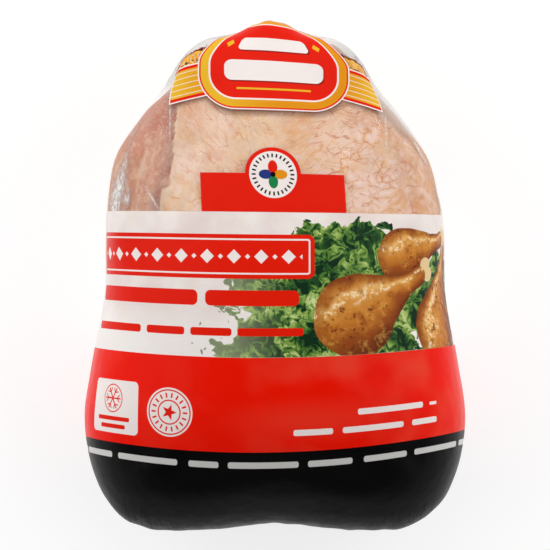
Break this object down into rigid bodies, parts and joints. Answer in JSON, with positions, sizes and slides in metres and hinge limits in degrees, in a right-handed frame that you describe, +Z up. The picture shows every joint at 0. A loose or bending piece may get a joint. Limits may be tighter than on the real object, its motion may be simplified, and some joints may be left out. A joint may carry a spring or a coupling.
{
  "type": "whole raw chicken in a clipped film bag",
  "caption": "Whole raw frozen chicken lying on its back, sealed in a tight film bag with a clear leg end, colour bands over the breast, and a neck gathered and clipped behind the legs.",
  "frame": {"origin": "centre of the bottom of the bounding box, on the surface that the pack lies on", "axes": "+Z up through the breast, +Y to the leg end, -Y to the neck end, +X to the right as seen from above with the leg end away"},
  "size_m": [0.165, 0.2194, 0.1056],
  "materials": {
    "printed_film": "glossy printed film, clear over the legs",
    "clip_metal": "satin"
  },
  "bodies": {
    "root": {"bagged_chicken": "printed_film", "clip": "clip_metal"}
  },
  "joints": []
}
